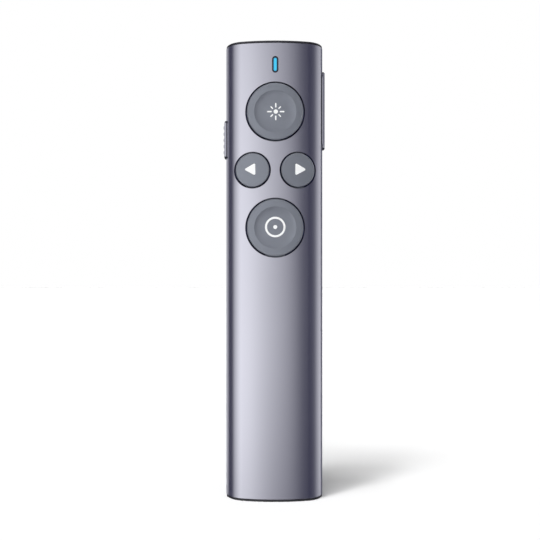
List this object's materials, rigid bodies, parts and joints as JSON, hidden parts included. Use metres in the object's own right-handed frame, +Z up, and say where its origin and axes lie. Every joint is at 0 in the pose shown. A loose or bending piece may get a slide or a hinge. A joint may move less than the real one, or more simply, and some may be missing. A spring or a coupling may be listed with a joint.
{
  "type": "wireless presentation clicker",
  "caption": "Slim oval handheld presentation remote with round buttons, a side slide switch, a volume rocker, a laser end and a pull-out receiver in its tail.",
  "frame": {"origin": "centre of the flat tail face, on the sleeve's own axis", "axes": "+Z up along the body from the tail to the laser end; the buttons face -Y; +X is to the viewer's right when the buttons face the viewer"},
  "size_m": [0.0316, 0.0155, 0.14],
  "materials": {
    "anodised_grey": "fine bead-blasted grey anodising",
    "cap_dark": "satin moulded plastic",
    "button_grey": "satin painted plastic",
    "side_grey": "anodised aluminium cover",
    "bezel_black": "polished black plastic",
    "indicator_blue": "lit blue light guide",
    "laser_window": "tinted clear window",
    "clear_lens": "clear moulded lens",
    "tray_black": "black moulded plastic",
    "frame_dark": "black moulded plastic",
    "board_green": "solder-masked glass-fibre board",
    "chip_black": "moulded chip package",
    "ceramic_white": "fired ceramic",
    "switch_steel": "pressed steel can",
    "plunger_black": "moulded plunger",
    "steel": "bright steel",
    "nickel": "nickel plating",
    "brass": "turned brass",
    "gold_contact": "gold-plated contact",
    "cell_foil": "laminated foil pouch",
    "pad_foam": "foam tape",
    "wire_red": "insulated wire",
    "wire_black": "insulated wire",
    "flex_amber": "polyimide ribbon",
    "plug_white": "moulded connector",
    "port_steel": "drawn steel shell",
    "port_black": "moulded insulator",
    "receiver_black": "satin moulded plastic"
  },
  "bodies": {
    "housing": {"battery_cell": "cell_foil", "battery_connector": "plug_white", "battery_lead_black": "wire_black", "battery_lead_red": "wire_red", "battery_pad": "pad_foam", "bay_magnet": "nickel", "board_screws": "steel", "body_sleeve": "anodised_grey", "charge_chip": "chip_black", "charge_port_shell": "port_steel", "charge_port_tongue": "port_black", "chassis": "tray_black", "chip_antenna": "ceramic_white", "control_chip": "chip_black", "frame_screws": "steel", "head_cap": "cap_dark", "indicator_bezel": "bezel_black", "indicator_lamp": "ceramic_white", "indicator_lens": "indicator_blue", "key_frame": "frame_dark", "laser_barrel": "brass", "laser_diode": "steel", "laser_flex": "flex_amber", "laser_lens": "clear_lens", "laser_switch": "switch_steel", "laser_window": "laser_window", "main_board": "board_green", "motion_sensor": "chip_black", "next_switch": "switch_steel", "power_switch": "switch_steel", "previous_switch": "switch_steel", "radio_crystal": "switch_steel", "rocker_pin": "steel", "spotlight_switch": "switch_steel", "tail_cap": "cap_dark", "volume_down_switch": "switch_steel", "volume_up_switch": "switch_steel"},
    "laser_key": {"laser_button": "button_grey", "laser_plunger": "plunger_black"},
    "previous_key": {"previous_button": "button_grey", "previous_plunger": "plunger_black"},
    "next_key": {"next_button": "button_grey", "next_plunger": "plunger_black"},
    "spotlight_key": {"spotlight_button": "button_grey", "spotlight_plunger": "plunger_black"},
    "power_slide": {"power_knob": "plunger_black", "power_cover": "side_grey", "power_clip": "plunger_black", "power_lever": "plunger_black"},
    "rocker": {"volume_rocker": "plunger_black", "rocker_cover": "side_grey"},
    "receiver": {"receiver_housing": "receiver_black", "receiver_plug_shell": "nickel", "receiver_plug_tongue": "port_black", "receiver_contacts": "gold_contact"}
  },
  "joints": [
    {"name": "laser_press", "type": "slide", "parent": "housing", "child": "laser_key", "axis": [0, 1, 0], "range_m": [0, 0.0004], "stiffness_N_per_m": 300, "springref_m": -0.003},
    {"name": "previous_press", "type": "slide", "parent": "housing", "child": "previous_key", "axis": [0, 1, 0], "range_m": [0, 0.0004], "stiffness_N_per_m": 300, "springref_m": -0.003},
    {"name": "next_press", "type": "slide", "parent": "housing", "child": "next_key", "axis": [0, 1, 0], "range_m": [0, 0.0004], "stiffness_N_per_m": 300, "springref_m": -0.003},
    {"name": "spotlight_press", "type": "slide", "parent": "housing", "child": "spotlight_key", "axis": [0, 1, 0], "range_m": [0, 0.0004], "stiffness_N_per_m": 300, "springref_m": -0.003},
    {"name": "power_switch_slide", "type": "slide", "parent": "housing", "child": "power_slide", "axis": [0, 0, -1], "range_m": [0, 0.002]},
    {"name": "volume_rock", "type": "hinge", "parent": "housing", "child": "rocker", "pos_m": [0.011, 0, 0.12], "axis": [0, 1, 0], "range_deg": [-1.7, 1.7], "stiffness_Nm_per_rad": 0.4},
    {"name": "receiver_slide", "type": "slide", "parent": "housing", "child": "receiver", "axis": [0, 0, -1], "range_m": [0, 0.022]}
  ]
}
